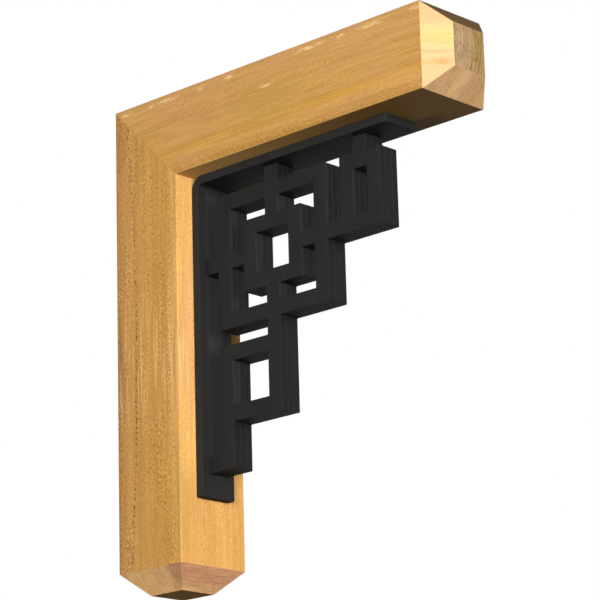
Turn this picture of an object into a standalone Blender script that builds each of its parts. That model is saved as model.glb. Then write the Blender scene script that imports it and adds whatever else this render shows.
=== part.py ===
"""Timber corbel bracket: two mitred timbers, a bent iron strap and an iron fretwork brace.

Metres, +Z up. +X points out from the wall, Y runs across the bracket.
The origin is the middle of the post's flat back, where the bracket meets the wall.
"""
import math

import bmesh
import bpy
from mathutils import Vector

# Timbers
TIMBER = 0.140          # both timbers are this square in section
PROJECTION = 0.700      # wall to the arm's outer end
DROP = 0.805            # top of the arm to the foot of the post
END_CHAMFER = 0.035     # 45 degree chamfer round each free end
ARRIS = 0.0012          # softening of the timbers' long edges
TOUCH = 0.0003          # clearance between pieces that touch

# Iron strap, a flat bar bent to a right angle
STRAP_WIDTH = 0.070
STRAP_THICK = 0.014
STRAP_INNER_BEND = 0.008    # radius on the open side of the bend
STRAP_CORNER = 0.003        # radius of the corners at both ends of the bar
STRAP_SETBACK = 0.105       # strap's end to where a timber's chamfer begins
IRON_ARRIS = 0.0010         # softening of the iron's edges

# Fretwork, flat plates side by side
PLATES = 3
PLATE_THICK = 0.013
BAR_ACROSS = 0.028      # width of the fretwork's upright bars, along X
BAR_DOWN = 0.026        # height of its level bars, along Z
MARGIN_OUT = 0.028      # fretwork's outer edge to the strap's end, along the arm
MARGIN_DOWN = 0.0375    # fretwork's lower edge to the strap's end, down the post

# Openings of the fretwork, as multiples of its plain gap.
# Outwards: strap to frame, frame to ring, ring, ring to frame, slot, end rectangle.
GAPS_OUT = (1.0, 1.0, 2.5, 1.0, 1.0, 1.0)
# Downwards: strap to frame, frame to ring, ring, ring to frame, slot, lower square, leg.
GAPS_DOWN = (1.0, 1.0, 2.5, 1.0, 1.0, 2.75, 1.85)

# How finely the curved stretches are cut, and what counts as an edge to soften
BEND_FACETS = 8         # flat facets round the strap's bend
CORNER_FACETS = 4       # and round each corner at its ends
SHARP = math.radians(40)
SAME = 1e-5             # points nearer than this are one point

OAK = (0.56, 0.34, 0.12, 1.0)
IRON = (0.025, 0.025, 0.026, 1.0)

TOP = (DROP - END_CHAMFER) / 2      # height of the arm's top above the origin
FACE_OF_STRAP = TIMBER + TOUCH + STRAP_THICK    # strap's open face, from the wall or the top


def clear_scene():
    for obj in list(bpy.data.objects):
        bpy.data.objects.remove(obj, do_unlink=True)


def new_collection(name):
    collection = bpy.data.collections.new(name)
    bpy.context.scene.collection.children.link(collection)
    return collection


def principled(name, colour, roughness, metallic):
    material = bpy.data.materials.new(name)
    material.use_nodes = True
    shader = material.node_tree.nodes["Principled BSDF"]
    shader.inputs["Base Color"].default_value = colour
    shader.inputs["Roughness"].default_value = roughness
    shader.inputs["Metallic"].default_value = metallic
    material.diffuse_color = colour
    return material


def object_from(bm, name, collection, material):
    """Turn a bmesh into a named object with its own material."""
    bmesh.ops.recalc_face_normals(bm, faces=bm.faces)
    mesh = bpy.data.meshes.new(name)
    bm.to_mesh(mesh)
    bm.free()
    mesh.materials.append(material)
    obj = bpy.data.objects.new(name, mesh)
    collection.objects.link(obj)
    return obj


def box(low, high):
    """A bmesh box between two corners."""
    bm = bmesh.new()
    bmesh.ops.create_cube(bm, size=1.0)
    size = Vector(high) - Vector(low)
    bmesh.ops.scale(bm, vec=size, verts=bm.verts)
    bmesh.ops.translate(bm, vec=(Vector(low) + Vector(high)) / 2, verts=bm.verts)
    return bm


def trim(bm, point, outward):
    """Saw off all that lies beyond a plane and close the cut."""
    everything = list(bm.verts) + list(bm.edges) + list(bm.faces)
    cut = bmesh.ops.bisect_plane(bm, geom=everything, plane_co=point, plane_no=outward, clear_outer=True)
    rim = [item for item in cut["geom_cut"] if isinstance(item, bmesh.types.BMEdge)]
    bmesh.ops.contextual_create(bm, geom=rim)


def edges_in_plane(bm, point, normal):
    """The edges whose two ends both lie in a plane."""
    flat = {v for v in bm.verts if abs((v.co - Vector(point)).dot(normal)) < SAME}
    return [e for e in bm.edges if e.verts[0] in flat and e.verts[1] in flat]


def soften(bm, edges, width):
    """Round edges over with two narrow facets."""
    bmesh.ops.bevel(bm, geom=edges, offset=width, segments=2, profile=0.5, affect="EDGES")


def timber(name, low, high, free_end, mitre_point, mitre_outward, collection, material):
    """A square timber with a chamfered free end and a 45 degree cut at the other."""
    bm = box(low, high)
    end_point, end_normal = free_end
    end_edges = edges_in_plane(bm, end_point, end_normal)
    bmesh.ops.bevel(bm, geom=end_edges, offset=END_CHAMFER, segments=1, affect="EDGES")
    trim(bm, mitre_point, mitre_outward)
    joint = set(edges_in_plane(bm, mitre_point, mitre_outward))
    soften(bm, [e for e in bm.edges if e not in joint], ARRIS)
    return object_from(bm, name, collection, material)


def make_timbers(collection):
    half = TIMBER / 2
    across = Vector((1, 0, 1)).normalized()
    corner = Vector((0, 0, TOP))
    # The joint runs from the top back corner down to the inner corner, at right angles to across.
    # Each timber stops half the clearance short of it.
    backed_off = across * TOUCH / 2
    timber("timber_post", (0, -half, TOP - DROP), (TIMBER, half, TOP),
           ((0, 0, TOP - DROP), Vector((0, 0, 1))), corner - backed_off, across,
           collection, principled("oak_post", OAK, roughness=0.6, metallic=0.0))
    timber("timber_arm", (0, -half, TOP - TIMBER), (PROJECTION, half, TOP),
           ((PROJECTION, 0, 0), Vector((1, 0, 0))), corner + backed_off, -across,
           collection, principled("oak_arm", OAK, roughness=0.6, metallic=0.0))


def arc(centre_x, centre_z, radius, start, stop):
    """Points along an arc in the XZ plane, angles in degrees."""
    points = []
    for step in range(BEND_FACETS + 1):
        angle = math.radians(start + (stop - start) * step / BEND_FACETS)
        points.append((centre_x + radius * math.cos(angle), centre_z + radius * math.sin(angle)))
    return points


def extruded(name, outline, thickness):
    """A flat solid in the XZ plane, centred on Y = 0, from one closed outline."""
    curve = bpy.data.curves.new(name, "CURVE")
    curve.dimensions = "2D"
    curve.fill_mode = "BOTH"
    curve.extrude = thickness / 2
    spline = curve.splines.new("POLY")
    spline.points.add(len(outline) - 1)
    for point, (x, z) in zip(spline.points, outline):
        point.co = (x, z, 0, 1)
    spline.use_cyclic_u = True
    lying = bpy.data.objects.new(name, curve)
    bpy.context.scene.collection.objects.link(lying)
    mesh = bpy.data.meshes.new_from_object(lying.evaluated_get(bpy.context.evaluated_depsgraph_get()))
    bpy.data.objects.remove(lying, do_unlink=True)
    bm = bmesh.new()
    bm.from_mesh(mesh)
    bpy.data.meshes.remove(mesh)
    bmesh.ops.remove_doubles(bm, verts=bm.verts, dist=SAME)
    bmesh.ops.dissolve_limit(bm, angle_limit=math.radians(0.05), verts=bm.verts, edges=bm.edges)
    # Stand the flat shape up: its own Y becomes the height Z.
    for v in bm.verts:
        v.co = (v.co.x, -v.co.z, v.co.y)
    return bm


def sharp_edges(bm):
    return [e for e in bm.edges if e.is_manifold and e.calc_face_angle(0.0) > SHARP]


def make_strap(collection):
    """The flat bar bent round the inner corner of the two timbers."""
    near = TIMBER + TOUCH
    far = FACE_OF_STRAP
    reach = PROJECTION - END_CHAMFER - STRAP_SETBACK
    fall = DROP - END_CHAMFER - STRAP_SETBACK
    outer_bend = STRAP_INNER_BEND + STRAP_THICK
    middle = near + outer_bend
    outline = [(near, TOP - fall), (far, TOP - fall)]
    outline += arc(middle, TOP - middle, STRAP_INNER_BEND, 180, 90)
    outline += [(reach, TOP - far), (reach, TOP - near)]
    outline += arc(middle, TOP - middle, outer_bend, 90, 180)
    bm = extruded("iron_strap", outline, STRAP_WIDTH)
    half = STRAP_WIDTH / 2

    def at_an_end(edge):
        """A short edge across the bar's thickness at one of its four corners."""
        a, b = (v.co for v in edge.verts)
        on_side = abs(abs(a.y) - half) < SAME and abs(a.y - b.y) < SAME
        level = abs(a.x - reach) < SAME and abs(b.x - reach) < SAME
        low = abs(a.z - (TOP - fall)) < SAME and abs(b.z - (TOP - fall)) < SAME
        return on_side and (level or low)

    corners = [e for e in bm.edges if at_an_end(e)]
    bmesh.ops.bevel(bm, geom=corners, offset=STRAP_CORNER, segments=CORNER_FACETS, profile=0.5,
                    affect="EDGES")
    soften(bm, sharp_edges(bm), IRON_ARRIS)
    paint = principled("iron_strap", IRON, roughness=0.5, metallic=0.6)
    return object_from(bm, "iron_strap", collection, paint)


def grid_lines(start, stop, bar, gaps):
    """Where a row of bars begins and ends, with gaps between that share the room left over.

    The first gap comes before the first bar. Returns pairs (near side, far side), one per bar.
    """
    unit = (stop - start - bar * len(gaps)) / sum(gaps)
    lines = []
    at = start
    for gap in gaps:
        at += gap * unit
        lines.append((at, at + bar))
        at += bar
    return lines


def fretwork_bars():
    """The fretwork as rectangles (x0, x1, depth0, depth1), depths measured down from the arm's top."""
    face = FACE_OF_STRAP + TOUCH
    reach = PROJECTION - END_CHAMFER - STRAP_SETBACK - MARGIN_OUT
    fall = DROP - END_CHAMFER - STRAP_SETBACK - MARGIN_DOWN
    frame_l, ring_l, ring_r, frame_r, end_l, end_r = grid_lines(face, reach, BAR_ACROSS, GAPS_OUT)
    frame_t, ring_t, ring_b, frame_b, square_t, square_b, foot = grid_lines(face, fall, BAR_DOWN, GAPS_DOWN)
    # The spokes are centred on the ring and run on past the frame.
    spoke_x = (ring_l[1] + ring_r[0]) / 2
    spoke_z = (ring_t[1] + ring_b[0]) / 2
    upright = (spoke_x - BAR_ACROSS / 2, spoke_x + BAR_ACROSS / 2)
    level = (spoke_z - BAR_DOWN / 2, spoke_z + BAR_DOWN / 2)

    def hollow(left, right, top, bottom):
        """Four bars round a rectangular opening."""
        across, down = (left[0], right[1]), (top[0], bottom[1])
        return [left + down, right + down, across + top, across + bottom]

    bars = hollow(frame_l, frame_r, frame_t, frame_b)
    bars += hollow(ring_l, ring_r, ring_t, ring_b)
    bars += [upright + (face, ring_t[1]), upright + (ring_b[0], square_b[1])]
    bars += [(face, ring_l[1]) + level, (ring_r[0], end_r[1]) + level]
    # End rectangle beside the frame, hung from the strap by a stub over its opening.
    bars += hollow(end_l, end_r, frame_t, level)
    bars += [(end_l[1], end_r[0], face, frame_t[1])]
    # Lower square under the frame, and the leg that reaches back to the strap.
    bars += hollow(frame_l, upright, square_t, square_b)
    bars += [frame_l + (square_t[0], foot[1]), (face, frame_l[1]) + foot]
    return bars


def distinct(values):
    """Sorted values without near repeats."""
    kept = []
    for value in sorted(values):
        if not kept or value - kept[-1] > SAME:
            kept.append(value)
    return kept


def plate(bars, thickness):
    """A flat plate, centred on Y = 0, that fills the bars: a grid with the open cells taken out."""
    xs = distinct([x for bar in bars for x in bar[:2]])
    depths = distinct([d for bar in bars for d in bar[2:]])
    bm = bmesh.new()
    bmesh.ops.create_grid(bm, x_segments=len(xs) - 1, y_segments=len(depths) - 1, size=1.0)
    for v in bm.verts:
        column = round((v.co.x + 1) / 2 * (len(xs) - 1))
        row = round((v.co.y + 1) / 2 * (len(depths) - 1))
        v.co = (xs[column], -thickness / 2, TOP - depths[row])

    def open_cell(face):
        x, depth = face.calc_center_median().x, TOP - face.calc_center_median().z
        return not any(x0 < x < x1 and d0 < depth < d1 for x0, x1, d0, d1 in bars)

    bmesh.ops.delete(bm, geom=[f for f in bm.faces if open_cell(f)], context="FACES")
    raised = bmesh.ops.extrude_face_region(bm, geom=list(bm.faces), use_keep_orig=True)
    back = [item for item in raised["geom"] if isinstance(item, bmesh.types.BMVert)]
    bmesh.ops.translate(bm, vec=(0, thickness, 0), verts=back)
    return bm


def make_fretwork(collection):
    bars = fretwork_bars()
    pitch = PLATE_THICK + TOUCH
    for number in range(PLATES):
        name = f"fretwork_plate_{number + 1}"
        bm = plate(bars, PLATE_THICK)
        bmesh.ops.bevel(bm, geom=sharp_edges(bm), offset=IRON_ARRIS, segments=1, affect="EDGES")
        bmesh.ops.translate(bm, vec=(0, (number - (PLATES - 1) / 2) * pitch, 0), verts=bm.verts)
        object_from(bm, name, collection, principled(name, IRON, roughness=0.5, metallic=0.6))


clear_scene()
bracket = new_collection("corbel_bracket")
make_timbers(bracket)
make_strap(bracket)
make_fretwork(bracket)
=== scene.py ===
# %% [markdown]
# # A timber corbel bracket with an iron fretwork brace
#
# The bracket is two heavy square timbers that meet in a mitre, a flat iron bar bent into the angle
# between them, and a stepped brace of three flat iron plates. The plain solids are already made and
# packed: this lesson dresses them in wood and iron. The solids could be coloured as they are, but
# each piece is modelled afresh as a finer mesh that stands exactly where its plain solid stands, so
# its edges can be eased and its grain raised, and nothing has to be fitted by eye.

import math

import bmesh
import bpy
from mathutils import Matrix, Vector, noise
from mathutils.bvhtree import BVHTree


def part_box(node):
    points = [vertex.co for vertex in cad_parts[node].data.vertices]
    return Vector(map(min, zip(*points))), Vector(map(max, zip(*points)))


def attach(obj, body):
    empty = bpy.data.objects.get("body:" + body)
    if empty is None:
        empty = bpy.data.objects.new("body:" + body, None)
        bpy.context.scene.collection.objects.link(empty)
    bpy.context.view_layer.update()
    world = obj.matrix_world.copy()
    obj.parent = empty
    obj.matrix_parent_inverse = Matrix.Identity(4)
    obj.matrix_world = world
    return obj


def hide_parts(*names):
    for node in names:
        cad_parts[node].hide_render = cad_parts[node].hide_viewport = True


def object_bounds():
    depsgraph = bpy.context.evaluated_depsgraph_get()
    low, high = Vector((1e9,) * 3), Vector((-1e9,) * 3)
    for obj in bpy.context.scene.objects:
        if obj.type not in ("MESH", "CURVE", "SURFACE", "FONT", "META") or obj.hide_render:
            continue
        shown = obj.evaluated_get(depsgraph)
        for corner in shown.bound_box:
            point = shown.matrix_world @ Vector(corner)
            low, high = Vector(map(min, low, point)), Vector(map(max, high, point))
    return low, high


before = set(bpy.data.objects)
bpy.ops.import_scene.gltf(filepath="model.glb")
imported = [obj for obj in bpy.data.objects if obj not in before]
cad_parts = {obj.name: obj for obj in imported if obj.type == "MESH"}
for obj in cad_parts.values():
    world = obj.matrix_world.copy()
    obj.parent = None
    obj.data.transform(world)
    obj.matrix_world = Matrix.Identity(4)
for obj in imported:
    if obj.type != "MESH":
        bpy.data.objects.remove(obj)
plain_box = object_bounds()
print("plain bracket, lowest and highest corner:", *plain_box)

# %% [markdown]
# ## Sizes read from the plain bracket
#
# On the real bracket both timbers are cut from one square section, so one width serves everywhere.
# We could type the sizes in again, but reading them from the solids keeps this script true when the
# bracket is made larger. X runs out from the wall, Y across the bracket and Z up.

# %% Read the timber sizes
post_low, post_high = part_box("timber_post")
arm_low, arm_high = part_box("timber_arm")
strap_low, strap_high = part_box("iron_strap")

TIMBER = post_high.y - post_low.y       # side of the square section
TOP = arm_high.z                        # height of the arm's upper face
FOOT = post_low.z
REACH = arm_high.x                      # how far the arm stands out from the wall
CHAMFER = TIMBER / 4                    # the free ends are chamfered a quarter of the section
MM = 0.001
print(f"section {TIMBER / MM:.0f} mm, reach {REACH / MM:.0f} mm, drop {(TOP - FOOT) / MM:.0f} mm")

# %% [markdown]
# ## The camera
#
# The picture we match was taken from in front, to the right and a little below, with a long lens
# that hardly lets the parallel edges draw together. A camera could be aimed with a Track To
# constraint, but its slight roll is easier to give by building its three axes by hand: back along
# the line of sight, to the right, and up.


# %% Place the camera
def direction(azimuth, elevation):
    """Unit vector from the bracket towards what stands at this azimuth and elevation, in degrees."""
    a, e = math.radians(azimuth), math.radians(elevation)
    return Vector((math.sin(a) * math.cos(e), -math.cos(a) * math.cos(e), math.sin(e)))


CAMERA_AZIMUTH = 43.164
CAMERA_ELEVATION = -16.102
CAMERA_ROLL = -1.597
CAMERA_PLACE = Vector((3.1006, -2.9436, -1.1612))
LENS = 162.90                           # millimetres, on a sensor 36 mm wide

camera_data = bpy.data.cameras.new("camera")
camera_data.lens = LENS
camera_data.sensor_width = 36.0
camera = bpy.data.objects.new("camera", camera_data)
bpy.context.scene.collection.objects.link(camera)

backward = direction(CAMERA_AZIMUTH, CAMERA_ELEVATION)
level_right = Vector((0, 0, 1)).cross(backward).normalized()
roll = Matrix.Rotation(math.radians(CAMERA_ROLL), 3, backward)
rightward = roll @ level_right
upward = backward.cross(rightward)
turned = Matrix((rightward, upward, backward)).transposed()
camera.matrix_world = Matrix.Translation(CAMERA_PLACE) @ turned.to_4x4()
bpy.context.scene.camera = camera
print("camera looks along", -backward)

# %% [markdown]
# ## Studio light
#
# The picture has a white backdrop and soft light from the front and a little below: the two sides
# that face us are bright, the front of the post most of all, and the undersides are dark. Two large
# soft boxes do that, one near the camera and one further round to the right. A third, behind and
# above, only serves whoever walks round the bracket. The backdrop is white for the eye and for
# reflections, but sends hardly any light of its own, so that the undersides stay dark.


# %% Set up the soft boxes and the backdrop
LIGHT_DISTANCE = 9.0        # metres: far enough that both ends of the bracket get the same light


def soft_box(name, azimuth, elevation, side, watts):
    """A square area light that faces the middle of the bracket."""
    lamp = bpy.data.lights.new(name, "AREA")
    lamp.shape = "SQUARE"
    lamp.size = side
    lamp.energy = watts
    made = bpy.data.objects.new(name, lamp)
    bpy.context.scene.collection.objects.link(made)
    towards = direction(azimuth, elevation)
    made.location = (plain_box[0] + plain_box[1]) / 2 + towards * LIGHT_DISTANCE
    made.rotation_mode = "QUATERNION"
    made.rotation_quaternion = towards.to_track_quat("Z", "Y")
    made.visible_camera = False


soft_box("soft_box_front", azimuth=36, elevation=-5, side=3.6, watts=948)
soft_box("soft_box_right", azimuth=82, elevation=0, side=3.2, watts=665)
soft_box("soft_box_behind", azimuth=235, elevation=38, side=4.0, watts=840)

BACKDROP_SEEN = 1.0         # its brightness to the camera,
BACKDROP_REFLECTED = 1.0    # in reflections,
BACKDROP_LIGHT = 0.038      # and as light on the bracket

world = bpy.data.worlds.new("backdrop")
world.use_nodes = True
bpy.context.scene.world = world
glow = world.node_tree.nodes["Background"]
glow.inputs["Color"].default_value = (1, 1, 1, 1)
ray = world.node_tree.nodes.new("ShaderNodeLightPath")
brightness = BACKDROP_LIGHT
for kind, level in (("Is Glossy Ray", BACKDROP_REFLECTED), ("Is Camera Ray", BACKDROP_SEEN)):
    step = world.node_tree.nodes.new("ShaderNodeMapRange")
    world.node_tree.links.new(ray.outputs[kind], step.inputs["Value"])
    if isinstance(brightness, float):
        step.inputs["To Min"].default_value = brightness
    else:
        world.node_tree.links.new(brightness, step.inputs["To Min"])
    step.inputs["To Max"].default_value = level
    brightness = step.outputs["Result"]
world.node_tree.links.new(brightness, glow.inputs["Strength"])
bpy.context.scene.view_settings.view_transform = "Standard"

# %% [markdown]
# ## Wiring finishes
#
# A finish is a small network of nodes. Wiring nodes one statement at a time hides the idea behind
# the plumbing, so two helpers do it: one adds a node and fills its sockets, either with a plain
# value or with a link, and one turns a number from 0 to 1 into a run of colours. Colours are given
# as a paint chart gives them, 0 to 255, and changed to the linear light that Blender mixes in.


# %% Helpers for nodes and colours
def linear(red, green, blue):
    """A colour from a chart, 0 to 255 each, as linear red, green, blue and full opacity."""
    def undo(level):
        level /= 255
        return level / 12.92 if level <= 0.04045 else ((level + 0.055) / 1.055) ** 2.4
    return (undo(red), undo(green), undo(blue), 1.0)


class Finish:
    """One material, with short ways to add the nodes that its colour and bumps are made of."""

    def __init__(self, name):
        self.material = bpy.data.materials.new(name)
        self.material.use_nodes = True
        self.tree = self.material.node_tree
        self.surface = self.tree.nodes["Principled BSDF"]

    def node(self, kind, sockets=None, output=0, **settings):
        """Add a node and return one of its outputs. A socket gets a plain value or another output."""
        made = self.tree.nodes.new("ShaderNode" + kind)
        for setting, value in settings.items():
            setattr(made, setting, value)
        for socket, value in (sockets or {}).items():
            if isinstance(value, bpy.types.NodeSocket):
                self.tree.links.new(value, made.inputs[socket])
            else:
                made.inputs[socket].default_value = value
        return made.outputs[output]

    def math(self, operation, first, second=0.0):
        return self.node("Math", {0: first, 1: second}, operation=operation)

    def patches(self, place, detail=2.0, seed=0.0):
        """Soft random patches, about one to each unit of place, from 0 to 1 with most near 0.5."""
        return self.node("TexNoise", {"Vector": place, "W": seed, "Scale": 1.0, "Detail": detail,
                                      "Roughness": 0.5}, noise_dimensions="4D")

    def between(self, value, low, high):
        """0 below low, 1 above high and a smooth rise between."""
        return self.node("MapRange", {"Value": value, "From Min": low, "From Max": high},
                         interpolation_type="SMOOTHSTEP")

    def colours(self, value, stops):
        """A run of colours along 0 to 1. Stops are pairs (position, colour)."""
        ramp = self.node("ValToRGB", {"Fac": value}).node.color_ramp
        while len(ramp.elements) < len(stops):
            ramp.elements.new(1.0)
        for element, (position, colour) in zip(ramp.elements, stops):
            element.position = position
            element.color = colour
        return self.tree.nodes[-1].outputs[0]

    def blend(self, share, under, over):
        """Lay one colour over another by a share from 0 to 1."""
        return self.node("Mix", {0: share, 6: under, 7: over}, output=2, data_type="RGBA")


print("chart white becomes", linear(255, 255, 255))

# %% [markdown]
# ## Long grain
#
# Sawn timber shows its growth as soft bands along its length, crossed by fine fibres and by the
# short dark dashes of cut pores. A picture of wood could be wrapped round each timber, but its
# seams would show on the arrises. A solid wood is better: the colour is worked out from the place
# inside the timber, so bands run round the corners as they do in a real beam. Stretching the place
# along the grain turns round patches into streaks. The post grew upright and the arm lies level,
# so each gets its own wood with the grain turned, and the change shows along the mitre.


# %% Streaks along the grain
WOOD_SHEEN = 0.03           # bare timber hardly shines
GRAIN_RELIEF = 0.3          # strength of the bump that the finest grains are given


class Wood(Finish):
    """A finish for timber, from the place inside it. The three axes are given as letters.

    Lengths are in metres, unless a comment says mm.
    """

    def __init__(self, name, along, across, through):
        super().__init__(name)
        own = self.node("TexCoord", output="Object")
        axes = self.node("SeparateXYZ", {0: own}).node.outputs
        self.along, self.across, self.through = axes[along], axes[across], axes[through]

    def bow(self, middle, bend):
        """From here on, bend the streaks into long arches about a place along the grain."""
        from_middle = self.math("SUBTRACT", self.along, middle)
        rise = self.math("MULTIPLY", self.math("MULTIPLY", from_middle, from_middle), bend)
        self.across = self.math("ADD", self.across, rise)

    def streaks(self, length, width, depth=None, detail=2.0, seed=0.0):
        """Streaks of this length along the grain, width across it and depth through the timber."""
        place = self.node("CombineXYZ", {0: self.along, 1: self.across, 2: self.through})
        squeeze = (1 / length, 1 / width, 1 / (depth or width))
        scaled = self.node("VectorMath", {0: place, 1: squeeze}, operation="MULTIPLY")
        return self.patches(scaled, detail=detail, seed=seed)

    def both(self, *values):
        """All the values multiplied: high only where each of them is high."""
        product = values[0]
        for value in values[1:]:
            product = self.math("MULTIPLY", product, value)
        return product

    def either(self, first, second):
        return self.math("MAXIMUM", first, second)

    def weigh(self, base, *parts):
        """A base number with values added to it. Parts are pairs (value, weight)."""
        total = base
        for value, weight in parts:
            total = self.math("ADD", total, self.math("MULTIPLY", value, weight))
        return total

    def near(self, value, middle, reach):
        """1 where a value is at the middle, falling to 0 at reach on both sides."""
        return self.between(self.math("ABSOLUTE", self.math("SUBTRACT", value, middle)), reach, 0.0)

    def shade(self, colour, streaks, strength):
        """Darken and lighten a colour by streaks, half way up meaning no change."""
        swing = self.weigh(1.0, (self.math("SUBTRACT", streaks, 0.5), strength))
        return self.node("VectorMath", {0: colour, "Scale": swing}, operation="SCALE")

    def spot(self, along, across, half_length, half_width):
        """1 at one place on the timber, falling to 0 at the edge of an oval round it. Sizes in mm."""
        return self.both(self.near(self.along, along * MM, half_length * MM),
                         self.near(self.across, across * MM, half_width * MM))

    def marks(self, length, width, crowd, seed, depth=None):
        """Small marks, 0 to 1, that grow more and larger as crowd rises from 0 to 1."""
        spots = self.streaks(length, width, depth, detail=1.0, seed=seed)
        limit = self.node("MapRange", {"Value": crowd, "To Min": 0.74, "To Max": 0.50})
        return self.between(self.math("SUBTRACT", spots, limit), 0.0, 0.05)

    def dab(self, colour, marks, strength, over):
        """Lay another colour on where the marks are."""
        return self.blend(self.math("MULTIPLY", marks, strength), colour, linear(*over))

    def surface_from(self, colour, height, roughness):
        self.tree.links.new(colour, self.surface.inputs["Base Color"])
        self.surface.inputs["Roughness"].default_value = roughness
        self.surface.inputs["Specular IOR Level"].default_value = WOOD_SHEEN
        bump = self.node("Bump", {"Height": height, "Strength": GRAIN_RELIEF, "Distance": 0.5 * MM})
        self.tree.links.new(bump, self.surface.inputs["Normal"])
        return self.material


print("timber: sheen", WOOD_SHEEN, "and strength of the finest relief", GRAIN_RELIEF)

# %% [markdown]
# ### Bands of colour
#
# The broad bands of a timber are set out as a run of colours from one face to the other, and then
# made to wander, because growth is never ruled with a straightedge. Seen from the side they also
# drift with the depth, so that no face is all one colour.


# %% Bands across a timber
def band_colours(wood, start, stop, bands, wander, seed):
    """Colours from start to stop across the grain. Bands are pairs (mm from start, colour)."""
    swing = wood.math("SUBTRACT", wood.streaks(0.30, 0.020, seed=seed), 0.5)
    drift = wood.math("SUBTRACT", wood.streaks(0.60, 0.030, seed=seed + 1), 0.5)
    inside = wood.between(wood.math("ABSOLUTE", wood.through), TIMBER / 2, 0.050)
    sway = wood.weigh(0.0, (swing, wander), (wood.both(drift, inside), 0.10))
    place = wood.math("ADD", wood.across, sway)
    share = wood.node("MapRange", {"Value": place, "From Min": start, "From Max": stop})
    width = (stop - start) / MM
    return wood.colours(share, [(distance / width, linear(*colour)) for distance, colour in bands])


POST_BANDS = [(0, (168, 121, 62)), (14, (185, 137, 79)), (32, (195, 146, 83)), (44, (186, 138, 74)),
              (57, (197, 147, 80)), (66, (191, 141, 73)), (73, (199, 148, 81)), (92, (191, 140, 71)),
              (102, (198, 147, 77)), (109, (192, 141, 70)), (118, (200, 148, 77)), (126, (207, 157, 88)),
              (136, (210, 160, 91))]
ARM_BANDS = [(0, (185, 136, 65)), (16, (196, 145, 79)), (24, (204, 153, 86)), (41, (201, 151, 75)),
             (45, (194, 144, 76)), (48, (200, 151, 84)), (55, (202, 153, 88)), (62, (199, 149, 79)),
             (79, (202, 153, 87)), (85, (198, 149, 84)), (88, (191, 142, 78)), (91, (198, 149, 84)),
             (118, (201, 152, 89)), (134, (197, 150, 89)), (139, (194, 149, 91))]
print("bands:", len(POST_BANDS), "on the post,", len(ARM_BANDS), "on the arm")

# %% [markdown]
# ### Grains and pores
#
# Over the bands come thin streaks, and over those a roughness of pale and dark grains, strong in
# some places and weak in others. The post also has one crowded row of dark pores. It bows away from
# the wall half way down, as the heart of a tree does in a beam sawn a little off its line, and it
# spreads into clusters. The arm has pale scuffs under its upper arris, one short scratch and a
# greener patch half way out. Marks could be painted by hand, but places that are typed in can be
# moved and read off the timber with a rule: out from the wall, and up or down from the middle of
# the post's back or down from the top.


# %% Long grain on the post
PORE_CLUSTERS = [(88, 20, 26, 12, 0.80), (118, 30, 36, 12, 0.80), (70, 44, 30, 8, 0.40),
                 (165, 50, 40, 12, 0.25), (295, 20, 36, 12, 0.30), (305, 45, 20, 6, 0.90),
                 (500, 42, 26, 6, 0.90), (520, 22, 55, 13, 0.30), (700, 34, 30, 9, 0.75),
                 (722, 22, 24, 12, 0.80)]
# Each is mm down from the top, mm out from the wall, half its length, half its width, and how
# crowded it is.


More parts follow.
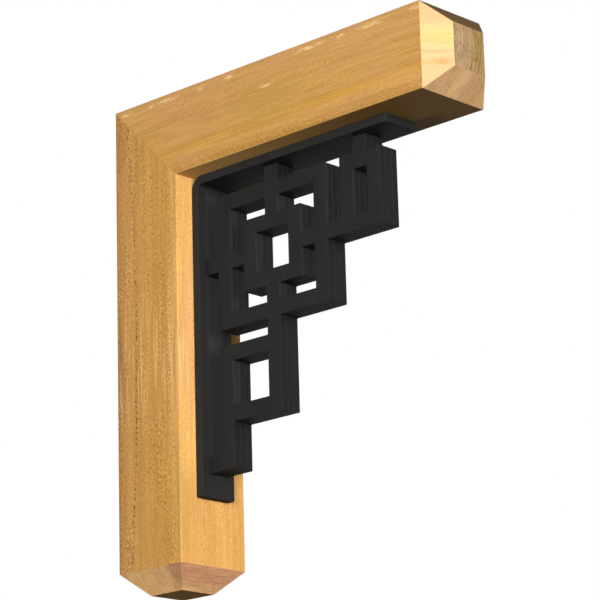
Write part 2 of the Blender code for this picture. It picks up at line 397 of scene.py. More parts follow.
def post_long_grain():
    wood = Wood("post_long_grain", "Z", "X", "Y")
    middle = (TOP + FOOT) / 2
    colour = band_colours(wood, 0.0, TIMBER, POST_BANDS, wander=0.026, seed=3.0)
    front = wood.between(wood.across, 0.120, 0.136)
    colour = wood.shade(colour, wood.streaks(0.12, 0.0045, seed=5.0), 0.5)
    colour = wood.shade(colour, wood.streaks(0.16, 0.0090, seed=35.0), wood.math("MULTIPLY", front, 0.60))

    # Narrow pale threads half way down, brown stains along the back edge and a rosy stripe in front.
    threads = wood.between(wood.streaks(0.12, 0.0040, detail=1.0, seed=9.0), 0.53, 0.60)
    threads = wood.both(threads, wood.near(wood.along, middle - 0.03, 0.15))
    colour = wood.dab(colour, threads, 0.65, (228, 182, 122))
    colour = wood.dab(colour, wood.spot(-30, 6, 110, 9), 0.55, (140, 88, 50))
    colour = wood.dab(colour, wood.spot(325, 18, 50, 12), 0.45, (174, 110, 52))
    rosy = wood.both(wood.near(wood.through, -0.047, 0.014), wood.near(wood.along, middle, 0.20))
    colour = wood.dab(colour, rosy, 0.55, (214, 156, 112))

    # The front is painted darker towards the foot as shade, and dark past the strap as painted shadow.
    foot = wood.both(wood.between(wood.along, -0.20, -0.32), front)
    colour = wood.dab(colour, foot, 0.40, (186, 134, 70))
    # Painted shadow of the strap and plates: the front past the strap is painted dark brown.
    on_front = wood.between(wood.across, TIMBER - 1.5 * MM, TIMBER - 0.5 * MM)
    painted_shadow_past_strap = wood.both(on_front, wood.between(wood.through, 0.026, 0.036),
                           wood.between(wood.along, -0.17, -0.05))
    colour = wood.dab(colour, painted_shadow_past_strap, 0.85, (58, 42, 22))

    # The clusters of pores, and the row that joins them.
    crowd = 0.0
    for depth, out, half_length, half_width, most in PORE_CLUSTERS:
        cluster = wood.spot(TOP / MM - depth, out, half_length, half_width)
        crowd = wood.either(crowd, wood.math("MULTIPLY", cluster, most))
    wood.bow(middle, bend=0.12)
    clumps = wood.between(wood.streaks(0.050, 0.050, detail=1.0, seed=7.0), 0.36, 0.60)
    row = wood.both(wood.near(wood.across, 0.0450, 0.0048), wood.weigh(0.66, (clumps, 0.34)))
    crowd = wood.either(crowd, row)

    # Fine grains in rows, with pale and dark specks, weaker on the front.
    rows = wood.between(wood.streaks(0.14, 0.0070, detail=1.0, seed=27.0), 0.44, 0.60)
    thick = wood.between(wood.streaks(0.12, 0.030, detail=1.0, seed=7.0), 0.42, 0.62)
    grains = wood.streaks(0.0044, 0.0018, detail=0.0, seed=6.0)
    rough = wood.weigh(0.42, (rows, 0.70), (wood.either(thick, crowd), 0.58))
    colour = wood.shade(colour, grains, wood.both(rough, wood.weigh(1.0, (front, -0.50))))
    speckle = wood.both(wood.weigh(0.20, (rows, 0.25), (thick, 0.15)), wood.weigh(1.0, (front, -0.55)))
    pale = wood.marks(0.0052, 0.0024, speckle, seed=26.0)
    dark = wood.marks(0.0048, 0.0024, speckle, seed=16.0)
    pores = wood.marks(0.0046, 0.0032, crowd, seed=8.0)
    colour = wood.dab(colour, pale, 0.45, (236, 194, 132))
    colour = wood.dab(colour, dark, 0.60, (134, 84, 34))
    colour = wood.dab(colour, pores, 0.80, (104, 60, 20))
    return wood.surface_from(colour, wood.math("SUBTRACT", grains, pores), roughness=0.6)


print("clusters of pores on the post:", len(PORE_CLUSTERS))

# %% Long grain on the arm
SCUFFS = [(28, 18), (84, 10), (122, 36), (200, 12), (262, 14), (440, 44), (506, 12), (572, 42),
          (655, 14)]        # the middle, in mm out from the wall, and half the length


def arm_long_grain():
    wood = Wood("arm_long_grain", "X", "Z", "Y")
    underside = TOP - TIMBER
    colour = band_colours(wood, underside, TOP, ARM_BANDS, wander=0.024, seed=11.0)
    colour = wood.shade(colour, wood.streaks(0.075, 0.0036, seed=12.0), 0.66)

    # A greener patch half way out, pinker clouds and one golden band.
    green = wood.both(wood.near(wood.along, REACH / 2, 0.11), wood.near(wood.across, TOP - 0.075, 0.060))
    colour = wood.dab(colour, green, 0.55, (184, 148, 74))
    pinker = wood.between(wood.streaks(0.11, 0.050, detail=1.0, seed=19.0), 0.46, 0.66)
    colour = wood.dab(colour, pinker, 0.30, (206, 152, 100))
    golden = wood.both(wood.near(wood.across, underside + 0.037, 0.011), wood.near(wood.along, 0.51, 0.11))
    colour = wood.dab(colour, golden, 0.60, (208, 154, 58))

    # Fine grains, with more marks in the green patch and along the lower arris.
    thick = wood.between(wood.streaks(0.10, 0.022, detail=1.0, seed=14.0), 0.44, 0.66)
    low_edge = wood.near(wood.across, underside + 0.004, 0.020)
    grains = wood.streaks(0.0060, 0.0020, detail=0.0, seed=23.0)
    colour = wood.shade(colour, grains, wood.weigh(0.25, (thick, 0.28), (low_edge, 0.34)))
    speckle = wood.weigh(0.08, (thick, 0.24))
    pale_crowd = wood.math("MULTIPLY", low_edge, 0.45)
    pale = wood.marks(0.0080, 0.0024, wood.either(speckle, pale_crowd), seed=13.0)
    dark_crowd = wood.math("MULTIPLY", wood.either(green, low_edge), 0.50)
    dark = wood.marks(0.0110, 0.0026, wood.either(speckle, dark_crowd), seed=15.0)
    colour = wood.dab(colour, pale, 0.35, (234, 190, 124))
    colour = wood.dab(colour, dark, 0.38, (136, 92, 36))

    # Pale scuffs just under the upper arris, and one short scratch.
    near_side = wood.between(wood.through, -0.050, -0.068)
    clumps = wood.weigh(0.0, *[(wood.near(wood.along, middle * MM, half_length * MM), 1.5)
                               for middle, half_length in SCUFFS])
    torn = wood.between(wood.streaks(0.0130, 0.0022, seed=17.0), 0.40, 0.56)
    scuffs = wood.both(wood.near(wood.across, TOP - 0.0105, 0.0054), clumps, torn, near_side)
    colour = wood.dab(colour, wood.math("MINIMUM", scuffs, 1.0), 0.80, (242, 202, 140))
    scratch = wood.both(wood.spot(345, TOP / MM - 47, 20, 2.4), near_side)
    colour = wood.dab(colour, scratch, 0.95, (246, 208, 146))

    # The underside is greyer, painted darker towards the end as shade on a face that looks down,
    # and darkest past the strap as painted shadow.
    below = wood.between(wood.across, underside + 0.0016, underside + 0.0004)
    colour = wood.dab(colour, below, 0.80, (196, 158, 100))
    # Painted shade: the underside grows darker towards the end.
    outer = wood.both(below, wood.between(wood.along, 0.20, 0.62))
    colour = wood.dab(colour, outer, 0.82, (94, 66, 24))
    # Painted shadow of the strap on the far strip of the underside.
    painted_shadow_past_strap = wood.both(below, wood.between(wood.through, 0.026, 0.036),
                           wood.between(wood.along, 0.62, 0.58))
    colour = wood.dab(colour, painted_shadow_past_strap, 0.80, (58, 42, 22))
    return wood.surface_from(colour, wood.math("SUBTRACT", grains, dark), roughness=0.6)


print("scuffs on the arm:", len(SCUFFS))

# %% Make both long grain finishes
post_wood = post_long_grain()
arm_wood = arm_long_grain()
print("long grain:", post_wood.name, arm_wood.name)

# %% [markdown]
# ## End grain
#
# Where a timber is cut across, the growth rings show edge on as thin lines, and the open fibres
# drink more stain, so the cut is duller and pinker than the sides. The chamfers at the sides of the
# arm are different: they are paler, with a few level lines and a rosy smudge. The chamfers that
# lean downwards are painted paler still, as painted light, and the arm's top chamfer and the post's
# foot are painted dark, as painted shade. On the arm's end the rings stand upright and on the post
# they run across the bracket. One wave texture could draw the lines, but it would be too even, so
# the same streaks are used again, turned so that they lie in the rings.


# %% A helper for cut ends
def end_grain(name, axes, bands, lines, dashes, seed, grains=0.0, curl=0.0, curl_middle=0.0, smudge=None):
    """A cut end. The axes run along the rings, across them and through them.

    Bands are pairs (place across the rings in mm, colour). A smudge is a place (along, across) in mm.
    """
    wood = Wood(name, *axes)
    wood.bow(curl_middle, curl)
    swing = wood.math("SUBTRACT", wood.streaks(0.050, 0.020, depth=0.050, seed=seed), 0.5)
    place = wood.math("ADD", wood.across, wood.math("MULTIPLY", swing, 0.012))
    start, stop = bands[0][0], bands[-1][0]
    share = wood.node("MapRange", {"Value": place, "From Min": start * MM, "From Max": stop * MM})
    colour = wood.colours(share, [((d - start) / (stop - start), linear(*c)) for d, c in bands])
    rings = wood.streaks(0.045, 0.0030, depth=0.045, detail=1.0, seed=seed + 1)
    colour = wood.shade(colour, rings, lines)
    fine = wood.streaks(0.0060, 0.0024, depth=0.006, detail=1.0, seed=seed + 4)
    colour = wood.shade(colour, fine, grains)
    crowd = wood.between(wood.streaks(0.022, 0.010, depth=0.03, detail=1.0, seed=seed + 3), 0.42, 0.62)
    dark = wood.marks(0.0075, 0.0020, crowd, seed=seed + 2, depth=0.0075)
    colour = wood.dab(colour, dark, dashes, (98, 66, 36))
    if smudge:
        colour = wood.dab(colour, wood.spot(*smudge, 14, 8), 0.65, (222, 138, 88))
    return wood.surface_from(colour, rings, roughness=0.75)


RINGS_UPRIGHT = ("Z", "Y", "X")
RINGS_LEVEL = ("X", "Z", "Y")
RINGS_ACROSS = ("Y", "X", "Z")
print("rings run along", RINGS_UPRIGHT[0], RINGS_LEVEL[0], "or", RINGS_ACROSS[0])

# %% The cut ends of the arm
arm_end = end_grain("arm_end_grain", RINGS_UPRIGHT,
                    [(-35, (158, 130, 96)), (-12, (156, 128, 96)), (2, (152, 124, 90)), (9, (147, 121, 80)),
                     (16, (141, 114, 73)), (36, (145, 116, 76))],
                    lines=1.5, dashes=0.45, seed=21.0, grains=0.5, curl=5.0, curl_middle=TOP - 0.063)
# Painted light: the arm's lower chamfer is pinker, as cut ends are, and painted paler than the end face, to
# stand in for light from below.
arm_low = end_grain("arm_lower_cut", RINGS_UPRIGHT,
                    [(-70, (176, 138, 98)), (-30, (181, 142, 101)), (-8, (185, 151, 103)),
                     (0, (185, 151, 107)), (8, (180, 142, 103)), (28, (168, 131, 90)),
                     (70, (178, 145, 96))],
                    lines=0.6, dashes=0.2, seed=31.0)
# Painted shade: the arm's top chamfer is painted dark, as a face turned away from the light.
arm_shaded_top_cut = end_grain("arm_painted_shade_cut", RINGS_UPRIGHT, [(-70, (88, 66, 34)), (70, (90, 68, 36))],
                    lines=0.9, dashes=0.4, seed=41.0)
arm_side = end_grain("arm_pale_cut", RINGS_LEVEL,
                     [(245, (222, 168, 123)), (278, (222, 171, 123)), (285, (222, 164, 112)),
                      (293, (222, 170, 121)), (301, (222, 174, 127)), (304, (214, 160, 112)),
                      (308, (222, 178, 126)), (315, (222, 180, 124)), (317, (211, 168, 110)),
                      (319, (222, 179, 118)), (321, (214, 170, 111)), (324, (222, 180, 116)),
                      (328, (216, 174, 110)), (331, (222, 182, 119)), (340, (222, 179, 122)),
                      (352, (221, 166, 120)), (385, (219, 163, 116))],
                     lines=0.16, dashes=0.0, seed=51.0, smudge=(687, 286))
print("cut ends of the arm:", arm_end.name, arm_low.name, arm_shaded_top_cut.name, arm_side.name)

# %% The cut ends of the post
# Painted light: the chamfers round the post's foot are pinker, as cut ends are, and painted paler, most of
# all towards -Y, to stand in for light from below.
post_end = end_grain("post_end_grain", RINGS_ACROSS,
                     [(0, (211, 161, 107)), (30, (223, 175, 115)), (95, (221, 171, 117)),
                      (112, (187, 143, 99)), (124, (185, 135, 99)), (140, (189, 139, 97))],
                     lines=0.6, dashes=0.2, seed=61.0, grains=0.5)
# Painted shade: the post's foot, which looks down, is painted dark.
post_shaded_foot = end_grain("post_foot_grain", RINGS_ACROSS, [(0, (150, 112, 58)), (140, (144, 106, 54))],
                      lines=0.8, dashes=0.4, seed=71.0, grains=0.5)
print("cut ends of the post:", post_end.name, post_shaded_foot.name)

# %% [markdown]
# ## Skins from rings of points
#
# Both the timbers and the strap are long things whose section changes only near the ends. A loft
# suits them: a ring of points for each section, and a band of faces from each ring to the next.
# Bevelled boxes would give the same outline, but not the evenly spaced points that let us raise
# the grain later.


# %% Loft a closed skin
SHARP_ANGLE = 38            # degrees: edges that turn more than this stay crisp


def loft(name, rings, finish_of=None):
    """Join rings of points, each with as many points as the next, and close both ends.

    finish_of(row, column) gives the number of the finish for one face.
    """
    bm = bmesh.new()
    rows = [[bm.verts.new(point) for point in ring] for ring in rings]
    count = len(rows[0])
    for row in range(len(rows) - 1):
        for column in range(count):
            after = (column + 1) % count
            face = bm.faces.new((rows[row][column], rows[row][after],
                                 rows[row + 1][after], rows[row + 1][column]))
            if finish_of:
                face.material_index = finish_of(row, column)
    bm.faces.new(reversed(rows[0]))
    bm.faces.new(rows[-1])
    if finish_of:
        bm.faces.ensure_lookup_table()
        bm.faces[-1].material_index = finish_of(len(rows) - 2, -1)
    bmesh.ops.recalc_face_normals(bm, faces=bm.faces)
    mesh = bpy.data.meshes.new(name)
    bm.to_mesh(mesh)
    bm.free()
    return smooth_piece(name, mesh)


def smooth_piece(name, mesh):
    """Shade a mesh smooth over its rounded edges while its flats stay flat."""
    mesh.shade_smooth()
    mesh.set_sharp_from_angle(angle=math.radians(SHARP_ANGLE))
    made = bpy.data.objects.new(name, mesh)
    bpy.context.scene.collection.objects.link(made)
    flats = made.modifiers.new("flat_faces", "WEIGHTED_NORMAL")
    flats.weight = 90
    flats.keep_sharp = True
    return made


def rounded_square(half, radius, steps, corner_steps):
    """A ring round a square with rounded corners, as pairs (u, v), and the side each point is on.

    Sides are numbered 0 to 3 and corners belong to the side before them.
    """
    points, side_of = [], []
    flat = half - radius
    for side in range(4):
        turn = side * math.pi / 2
        run = [(half, -flat + 2 * flat * step / steps) for step in range(steps)]
        for step in range(corner_steps):
            angle = math.pi / 2 * step / corner_steps
            run.append((flat + radius * math.cos(angle), flat + radius * math.sin(angle)))
        for u, v in run:
            points.append((u * math.cos(turn) - v * math.sin(turn),
                           u * math.sin(turn) + v * math.cos(turn)))
            side_of.append(side)
    return points, side_of


print("a ring round a square has", len(rounded_square(1, 0.1, 10, 3)[0]), "points")

# %% [markdown]
# ## The timbers
#
# Each timber is planed square with its arrises just taken off, sawn at 45 degrees for the mitre,
# and chamfered all round its free end. The ring of each section is a rounded square. Along the
# straight part the rings lean over more and more until the first lies in the saw cut; past the
# chamfer they shrink as the end closes in. The mitre could be cut with a Boolean instead, but that
# would leave ragged faces beside it.

# %% Timber shapes
ARRIS = 0.8 * MM        # radius of the long edges
GAP = 0.02 * MM         # half of the hairline at the mitre
SIDE_STEPS = 64         # faces across one side
CORNER_STEPS = 3
LONG_STEPS = 120        # rings along the straight part
CUT_STEPS = 16          # rings down a chamfer and again over the end face


def end_profile(section, chamfer):
    """How the free end closes in: pairs (distance short of the end, inset from the sides)."""
    profile = []
    for step in range(CUT_STEPS + 1):
        inset = chamfer * step / CUT_STEPS
        profile.append((chamfer - inset, inset))
    for step in range(1, CUT_STEPS):
        profile.append((0.0, chamfer + (section / 2 - chamfer) * step / CUT_STEPS))
    return profile


def timber(name, length, place, finish_numbers):
    """A timber along its own first axis. place(along, out, across) puts a point in the bracket.

    out is measured from the face at the back of the mitre, where the timber is longest.
    """
    half = TIMBER / 2
    unit, side_of = rounded_square(half, ARRIS, SIDE_STEPS, CORNER_STEPS)
    start_of_cut = length - CHAMFER
    rings, row_kind = [], []
    for step in range(LONG_STEPS + 1):
        share = step / LONG_STEPS
        ring = []
        for u, v in unit:
            mitre = half + u + GAP
            ring.append(place(mitre + (start_of_cut - mitre) * share, half + u, v))
        rings.append(ring)
        row_kind.append("side")
    for short, inset in end_profile(TIMBER, CHAMFER)[1:]:
        scale = (half - inset) / half
        rings.append([place(length - short, half + u * scale, v * scale) for u, v in unit])
        row_kind.append("cut" if short > 0 or inset <= CHAMFER else "end")

    def finish_of(row, column):
        return finish_numbers[row_kind[row + 1]][side_of[column]]

    return loft(name, rings, finish_of)


# Each number is a finish's place in the timber's list below, for the four sides of a section in
# ring order: out, along +Y, back, along -Y.
post = timber("post", TOP - FOOT, lambda along, out, across: Vector((out, across, TOP - along)),
              {"side": (0, 0, 0, 0), "cut": (1, 1, 1, 1), "end": (2, 2, 2, 2)})
arm = timber("arm", REACH, lambda along, out, across: Vector((along, across, TOP - out)),
             {"side": (0, 0, 0, 0), "cut": (2, 4, 3, 4), "end": (1, 1, 1, 1)})
for finish in (post_wood, post_end, post_shaded_foot):
    post.data.materials.append(finish)
for finish in (arm_wood, arm_end, arm_low, arm_shaded_top_cut, arm_side):
    arm.data.materials.append(finish)
print("timber faces:", len(post.data.polygons), len(arm.data.polygons))

# %% [markdown]
# ## Raising the grain
#
# Planed timber is not quite flat. The hard bands stand a tenth of a millimetre above the soft ones,
# and on the cut ends the rings can be felt. A bump map would only fake it in the shading, so the
# points themselves are pressed in a little, never out, by noise stretched along the grain.


# %% Raise the grain
def press_in(piece, depth_at):
    """Move each point of a piece inwards, against its normal, by depth_at(point, normal)."""
    points = piece.data.vertices
    moved = [point.co - point.normal * depth_at(point.co, point.normal) for point in points]
    for point, place in zip(points, moved):
        point.co = place


def streaked(place, lengths):
    """Noise from 0 to 1 in streaks of these lengths along X, Y and Z."""
    return (noise.noise(Vector([p / s for p, s in zip(place, lengths)])) + 1) / 2


SOFT_BANDS = 0.14 * MM      # how far the soft bands lie below the hard ones
RING_DEPTH = 0.16 * MM      # and between the rings on a cut end
JOINT_MARGIN = 4 * MM       # the relief fades out over this distance from the mitre


def off_the_joint(place):
    """0 at the mitre, rising to 1 at the margin."""
    return min(1.0, abs(place.x - (TOP - place.z)) / JOINT_MARGIN)


SIDE_ON = 0.9               # a side's normal runs at least this much along its axis


def post_relief(place, normal):
    if max(abs(normal.x), abs(normal.y)) > SIDE_ON:
        bowed = Vector((place.x + 0.2 * place.z ** 2, place.y, place.z))
        return SOFT_BANDS * streaked(bowed, (0.008, 0.008, 0.25)) * off_the_joint(place)
    return RING_DEPTH * streaked(place, (0.0045, 0.05, 0.05)) * off_the_joint(place)


def arm_relief(place, normal):
    if max(abs(normal.y), abs(normal.z)) > SIDE_ON:
        return SOFT_BANDS * streaked(place, (0.25, 0.008, 0.008)) * off_the_joint(place)
    return RING_DEPTH * streaked(place, (0.05, 0.0045, 0.05)) * off_the_joint(place)


press_in(post, post_relief)
press_in(arm, arm_relief)
print("grain raised by up to", SOFT_BANDS / MM, "mm, rings by up to", RING_DEPTH / MM, "mm")

# %% [markdown]
# ## Iron
#
# The iron is coated charcoal black. Up close the coat has a fine pebbled skin and a dull sheen that
# catches the light along each edge. A single dark colour would look like a hole in the picture, so
# the colour drifts a little, in fine streaks, and the same coat comes in a few copies that are
# painted lighter or darker: painted light and shade. The sheared edges are painted darker than the
# flat sides of the plates, as shade, the undersides are painted darker still and shine less, and
# the coat is painted palest inside the openings, as light where the lamps don't reach, most of all
# as a painted highlight on the arrises in the grooves between two plates. The strap has three
# painted shades of its own, and its front is painted paler where the plates shade it, as painted
# light in their shadow. More lamps could light those places instead, but they would lighten the
# dark undersides too.


# %% A helper for coated iron
plate_low, plate_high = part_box("fretwork_plate_1")      # all three plates have one outline
SHADE_HALF = 17 * MM        # half the width of the strip of strap that the plates shade
SHADE_SOFT = 4.5 * MM       # and how far it fades to either side of that
SHADE_ENDS = 12 * MM        # and past its lower end


def coated_iron(name, darkest, palest, sheen=0.12, painted_light_behind_plates=None):
    """Coated iron. The last argument is a paler colour for the strap's upright leg where the plates shade
    it, painted light in their shadow.
    """
    finish = Finish(name)
    own = finish.node("TexCoord", output="Object")

    def skin(sizes, seed):
        """Patches of these sizes along X, Y and Z."""
        squeeze = [1 / size for size in sizes]
        place = finish.node("VectorMath", {0: own, 1: squeeze}, operation="MULTIPLY")
        return finish.patches(place, seed=seed)

    drift = skin((0.030, 0.0016, 0.090), seed=1.0)
    colour = finish.colours(drift, [(0.35, linear(*darkest)), (0.65, linear(*palest))])
    # Painted light: the strap's upright leg is painted paler where the plates shade it.
    if painted_light_behind_plates:
        axes = finish.node("SeparateXYZ", {0: own}).node.outputs
        behind = finish.between(finish.math("ABSOLUTE", axes["Y"]), SHADE_HALF + SHADE_SOFT,
                                SHADE_HALF - SHADE_SOFT)
        upright = finish.math("LESS_THAN", axes["X"], plate_low.x + 10 * MM)
        above_foot = finish.between(axes["Z"], plate_low.z - SHADE_ENDS, plate_low.z + SHADE_ENDS)
        below_bend = finish.between(axes["Z"], plate_high.z, plate_high.z - 20 * MM)
        shaded = finish.math("MULTIPLY", finish.math("MULTIPLY", behind, upright),
                             finish.math("MULTIPLY", above_foot, below_bend))
        colour = finish.blend(shaded, colour, linear(*painted_light_behind_plates))
    finish.tree.links.new(colour, finish.surface.inputs["Base Color"])
    finish.surface.inputs["Roughness"].default_value = 0.7
    finish.surface.inputs["Specular IOR Level"].default_value = sheen
    pebbles = skin((0.0014, 0.0014, 0.0014), seed=2.0)
    bump = finish.node("Bump", {"Height": pebbles, "Strength": 0.15, "Distance": 0.2 * MM})
    finish.tree.links.new(bump, finish.surface.inputs["Normal"])
    return finish.material


print("shaded strip on the strap:", round(2 * SHADE_HALF / MM), "mm wide")

# %% Iron finishes
# Copies of one coat, painted as light and shade: the edges and undersides are painted darker as shade, the
# insides of the openings paler as painted light, and the arrises in the grooves paler still as a painted
# highlight.
iron_sides = coated_iron("coated_iron_sides", darkest=(28, 28, 28), palest=(33, 33, 32))
iron_edges_painted_shade = coated_iron("coated_iron_edges", darkest=(14, 14, 14), palest=(21, 21, 21))
iron_below_painted_shade = coated_iron("coated_iron_below", darkest=(17, 17, 17), palest=(23, 23, 23), sheen=0.06)
iron_inside_painted_light = coated_iron("coated_iron_inside", darkest=(32, 32, 32), palest=(41, 41, 41))
iron_groove_painted_highlight = coated_iron("coated_iron_groove", darkest=(43, 43, 43), palest=(48, 48, 48))

# The strap's copies of the coat: its front is painted darker as shade, with painted light where the plates
# shade it, and its underside is painted darker still as shade.
strap_sides = coated_iron("strap_iron_sides", darkest=(34, 34, 33), palest=(39, 38, 37))
strap_front_painted_light_and_shade = coated_iron("strap_iron_front_painted_light_and_shade", darkest=(24, 24, 24), palest=(30, 30, 30),
                          painted_light_behind_plates=(44, 44, 44))
strap_below_painted_shade = coated_iron("strap_iron_below_painted_shade", darkest=(18, 18, 18), palest=(24, 24, 24), sheen=0.05)

PLATE_COATS = (iron_sides, iron_edges_painted_shade, iron_below_painted_shade, iron_inside_painted_light, iron_groove_painted_highlight)
STRAP_COATS = (strap_sides, strap_front_painted_light_and_shade, strap_below_painted_shade)
print("iron finishes:", *[finish.name for finish in PLATE_COATS + STRAP_COATS])

# %% [markdown]
# ### Painted light and shade for each face
#
# Each face gets the copy of the coat, painted lighter or darker, that stands in for its light.
# Faces could be picked by hand in Edit Mode, but which way a face looks tells us enough: along Y it
# is a flat side, downwards an underside, and any other way a sheared edge. A ray tells whether a
# face that looks outwards lies inside an opening: sent straight out from the face, it soon strikes
# the bar on the other side.

# %% Coat faces with painted light and shade by the way they look
SIDES, EDGES, BELOW, INSIDE, GROOVE = range(5)      # places in a piece's list of coats
FACING = 0.7                # a face looks along an axis when its normal runs this much along it
TILTED = 0.2                # and leans towards it from this much on
OPENING = 80 * MM           # no opening of the fretwork is wider than this
OUTWARD = Vector((1, 0, 0))
GROOVES = abs(plate_low.y) - 2 * MM     # the grooves between plates lie this close to the middle


def coat(piece, coats):
    """Give each face of an iron piece the copy of the coat, with painted light or shade, for the way it
    looks.
    """
    mesh = piece.data
    for finish in coats:
        mesh.materials.append(finish)
    solid = BVHTree.FromPolygons([point.co for point in mesh.vertices],
                                 [face.vertices for face in mesh.polygons])
    for face in mesh.polygons:
        face.material_index = EDGES
        if abs(face.normal.y) > FACING:
            face.material_index = SIDES
        elif face.normal.z < -FACING:
            face.material_index = BELOW
        if len(coats) <= INSIDE or face.normal.x <= TILTED:
            continue
        if solid.ray_cast(face.center + OUTWARD * MM, OUTWARD, OPENING)[0] is None:
            continue
        if abs(face.center.y) < GROOVES and abs(face.normal.y) > TILTED:
            face.material_index = GROOVE
        elif face.normal.x > FACING and abs(face.normal.y) < FACING:
            face.material_index = INSIDE


print("a plate takes", len(PLATE_COATS), "coats and the strap", len(STRAP_COATS))

# %% [markdown]
# ## The strap
#
# A smith cuts a flat bar to length, rounds its four corners and bends it round a former. The model
# goes the same way: sections of the straight bar are lofted, and each section is carried round the
# bend as it is placed. Bending a finished bar with a Simple Deform modifier would also work, but it
# would stretch the two straight legs as well.

# %% Strap
STRAP_THICK = 14 * MM
INNER_BEND = 8 * MM         # radius on the open side
END_CORNER = 3 * MM         # radius of the bar's four corners
IRON_ARRIS = 1.0 * MM
BEND_STEPS = 24             # sections round the bend
outer_bend = INNER_BEND + STRAP_THICK
bend_x, bend_z = strap_low.x + outer_bend, strap_high.z - outer_bend
upright_leg = bend_z - strap_low.z
level_leg = strap_high.x - bend_x
middle_bend = outer_bend - STRAP_THICK / 2
bar_length = upright_leg + middle_bend * math.pi / 2 + level_leg


def on_strap(along, inward, across):
    """A place on the bent bar: along it from the foot, inward from the timbers, across it."""
    if along < upright_leg:
        return Vector((strap_low.x + inward, across, strap_low.z + along))
    angle = (along - upright_leg) / middle_bend
    if angle < math.pi / 2:
        radius = outer_bend - inward
        return Vector((bend_x - radius * math.cos(angle), across, bend_z + radius * math.sin(angle)))
    return Vector((strap_high.x - (bar_length - along), across, strap_high.z - inward))


def quarter(radius, short):
    """How far a rounded end has drawn in at a distance short of the end."""
    return radius - math.sqrt(max(0.0, radius ** 2 - max(0.0, radius - short) ** 2))


def bar_section(along, half_width, half_thick, corner):
    """A ring round the bar: a rectangle with rounded corners."""
    ring = []
    for turn in range(4):
        sign_w = (1, -1, -1, 1)[turn]
        sign_t = (1, 1, -1, -1)[turn]
        for step in range(4):
            angle = math.pi / 2 * (turn + step / 3)
            inward = STRAP_THICK / 2 + sign_t * (half_thick - corner) + corner * math.sin(angle)
            across = sign_w * (half_width - corner) + corner * math.cos(angle)
            ring.append(on_strap(along, inward, across))
    return ring


def end_distances():
    """Distances from an end where sections are needed: close together round the corners."""
    near = [IRON_ARRIS * (1 - math.cos(math.radians(angle))) for angle in (0, 30, 60)]
    return near + [END_CORNER * (1 - math.cos(math.radians(angle))) for angle in range(35, 91, 11)]


def strap_sections():
    ends = end_distances()
    straight = [0.02, 0.15, 0.3, upright_leg - 0.002, upright_leg]
    bend = [upright_leg + middle_bend * math.pi / 2 * (step + 1) / BEND_STEPS for step in range(BEND_STEPS)]
    level = [bar_length - distance for distance in (0.25, 0.12, 0.02)]
    places = ends + straight + bend + level + [bar_length - distance for distance in reversed(ends)]
    half_width = (strap_high.y - strap_low.y) / 2
    rings = []
    for along in places:
        short = min(along, bar_length - along)
        drawn = quarter(IRON_ARRIS, short)
        width = half_width - quarter(END_CORNER, short)
        corner = max(IRON_ARRIS - drawn, 0.05 * MM)
        rings.append(bar_section(along, width, STRAP_THICK / 2 - drawn, corner))
    return rings


strap = loft("strap", strap_sections())
coat(strap, STRAP_COATS)
print(f"strap: a bar {bar_length / MM:.0f} mm long before bending, {len(strap.data.polygons)} faces")

# %% [markdown]
# ## The fretwork plates
#
# The brace is three equal plates side by side. Each is laid out like lattice: bars of one width
# with gaps that share what room is left, so the layout is a row of gaps outwards and a row
# downwards. A plate could be cut from sheet with Booleans, one for each opening, but filling in the
# squares of a grid and leaving the openings out is quicker and gives cleaner faces.

# %% Lay out the fretwork
BAR_ACROSS = 28 * MM
BAR_DOWN = 26 * MM
GAPS_OUT = (1.0, 1.0, 2.5, 1.0, 1.0, 1.0)
GAPS_DOWN = (1.0, 1.0, 2.5, 1.0, 1.0, 2.75, 1.85)
wide, tall = plate_high.x - plate_low.x, plate_high.z - plate_low.z


def bar_lines(stop, bar, gaps):
    """Near and far side of each bar in a row that starts with a gap, for a row of length stop."""
    unit = (stop - bar * len(gaps)) / sum(gaps)
    lines, at = [], 0.0
    for gap in gaps:
        at += gap * unit
        lines.append((at, at + bar))
        at += bar
    return lines


def lattice():
    """The bars as rectangles (out0, out1, down0, down1), measured from the plate's upper back corner."""
    frame_l, ring_l, ring_r, frame_r, end_l, end_r = bar_lines(wide, BAR_ACROSS, GAPS_OUT)
    frame_t, ring_t, ring_b, frame_b, square_t, square_b, foot = bar_lines(tall, BAR_DOWN, GAPS_DOWN)
    spoke_out = (ring_l[1] + ring_r[0]) / 2
    spoke_down = (ring_t[1] + ring_b[0]) / 2
    upright = (spoke_out - BAR_ACROSS / 2, spoke_out + BAR_ACROSS / 2)
    level = (spoke_down - BAR_DOWN / 2, spoke_down + BAR_DOWN / 2)

    def hollow(left, right, top, bottom):
        out, down = (left[0], right[1]), (top[0], bottom[1])
        return [left + down, right + down, out + top, out + bottom]

    bars = hollow(frame_l, frame_r, frame_t, frame_b) + hollow(ring_l, ring_r, ring_t, ring_b)
    bars += [upright + (0.0, ring_t[1]), upright + (ring_b[0], square_b[1])]
    bars += [(0.0, ring_l[1]) + level, (ring_r[0], end_r[1]) + level]
    bars += hollow(end_l, end_r, frame_t, level) + [(end_l[1], end_r[0], 0.0, frame_t[1])]
    bars += hollow(frame_l, upright, square_t, square_b)
    bars += [frame_l + (square_t[0], foot[1]), (0.0, frame_l[1]) + foot]
    return bars


bars = lattice()
print("lattice of", len(bars), "bars")


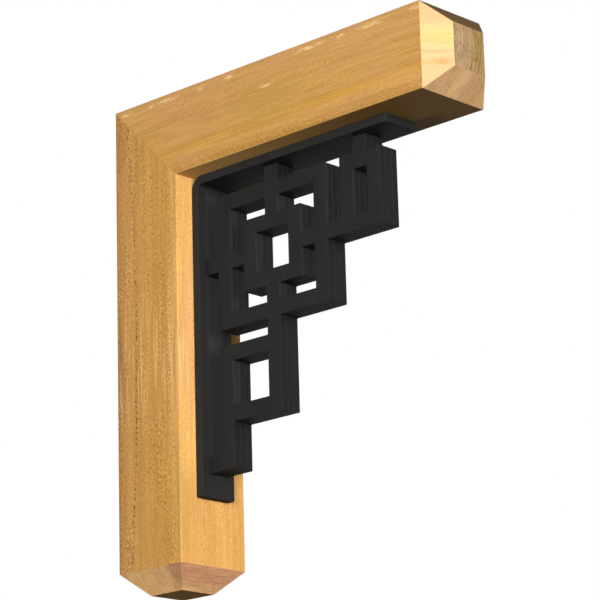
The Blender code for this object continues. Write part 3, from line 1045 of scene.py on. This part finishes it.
# %% Cut the plates
def plate_mesh(name, front, back):
    """One plate from Y = front to Y = back, its edges rounded."""
    outs = sorted({round(x, 6) for bar in bars for x in bar[:2]})
    downs = sorted({round(x, 6) for bar in bars for x in bar[2:]})
    bm = bmesh.new()
    bmesh.ops.create_grid(bm, x_segments=len(outs) - 1, y_segments=len(downs) - 1, size=1.0)
    for vertex in bm.verts:
        column = round((vertex.co.x + 1) / 2 * (len(outs) - 1))
        row = round((vertex.co.y + 1) / 2 * (len(downs) - 1))
        vertex.co = (plate_low.x + outs[column], front, plate_high.z - downs[row])

    def is_open(face):
        middle = face.calc_center_median()
        out, down = middle.x - plate_low.x, plate_high.z - middle.z
        return not any(o0 < out < o1 and d0 < down < d1 for o0, o1, d0, d1 in bars)

    bmesh.ops.delete(bm, geom=[face for face in bm.faces if is_open(face)], context="FACES")
    raised = bmesh.ops.extrude_face_region(bm, geom=list(bm.faces), use_keep_orig=True)
    far_side = [item for item in raised["geom"] if isinstance(item, bmesh.types.BMVert)]
    bmesh.ops.translate(bm, vec=(0, back - front, 0), verts=far_side)
    bmesh.ops.recalc_face_normals(bm, faces=bm.faces)
    edges = [edge for edge in bm.edges if edge.calc_face_angle(0.0) > math.radians(SHARP_ANGLE)]
    bmesh.ops.bevel(bm, geom=edges, offset=IRON_ARRIS, segments=3, profile=0.5, affect="EDGES")
    mesh = bpy.data.meshes.new(name)
    bm.to_mesh(mesh)
    bm.free()
    return mesh


plates = []
for number in (1, 2, 3):
    low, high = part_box(f"fretwork_plate_{number}")
    plates.append(smooth_piece(f"fret_{number}", plate_mesh(f"fret_{number}", low.y, high.y)))
    coat(plates[-1], PLATE_COATS)
print("plates:", [len(plate.data.polygons) for plate in plates], "faces")

# %% [markdown]
# ## Put the pieces on the bracket
#
# The bracket has no moving parts, so every piece rides on the one body. Each new piece stands for
# the plain solid that it covers. The plain solids could be hidden one by one, but a list says at a
# glance what stands for what, and names a finish slot beside each piece.

# %% Hang the pieces on the bracket
stands_for = [(post, "timber_post", "timber"), (arm, "timber_arm", "timber"), (strap, "iron_strap", "iron")]
stands_for += [(plate, f"fretwork_plate_{number}", "iron") for number, plate in enumerate(plates, start=1)]
for piece, node, slot in stands_for:
    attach(piece, "root")
    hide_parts(node)

# %% [markdown]
# ## The floor
#
# The bracket hangs on a wall, so the pale studio floor lies well below it, and the camera, which
# looks up, doesn't see it. Lit only by the soft boxes it would be white under them and grey
# elsewhere, so it glows evenly by itself instead, as a lit studio floor does in a catalogue. It is
# kept out of the light that falls on the bracket.

# %% Lay the floor
FLOOR_HEIGHT = -2.5
FLOOR_RADIUS = 80.0
bm = bmesh.new()
bmesh.ops.create_circle(bm, cap_ends=True, segments=96, radius=FLOOR_RADIUS,
                        matrix=Matrix.Translation((0, 0, FLOOR_HEIGHT)))
floor_mesh = bpy.data.meshes.new("floor")
bm.to_mesh(floor_mesh)
bm.free()
floor = bpy.data.objects.new("floor", floor_mesh)
bpy.context.scene.collection.objects.link(floor)
pale = Finish("pale_floor")
pale.surface.inputs["Base Color"].default_value = linear(0, 0, 0)     # its light is all its own
pale.surface.inputs["Roughness"].default_value = 1.0
pale.surface.inputs["Specular IOR Level"].default_value = 0.0
pale.surface.inputs["Emission Color"].default_value = linear(226, 226, 224)
pale.surface.inputs["Emission Strength"].default_value = 1.0
floor_mesh.materials.append(pale.material)
floor.visible_diffuse = False
floor.visible_glossy = False
floor.visible_shadow = False
print("floor at", FLOOR_HEIGHT, "m")
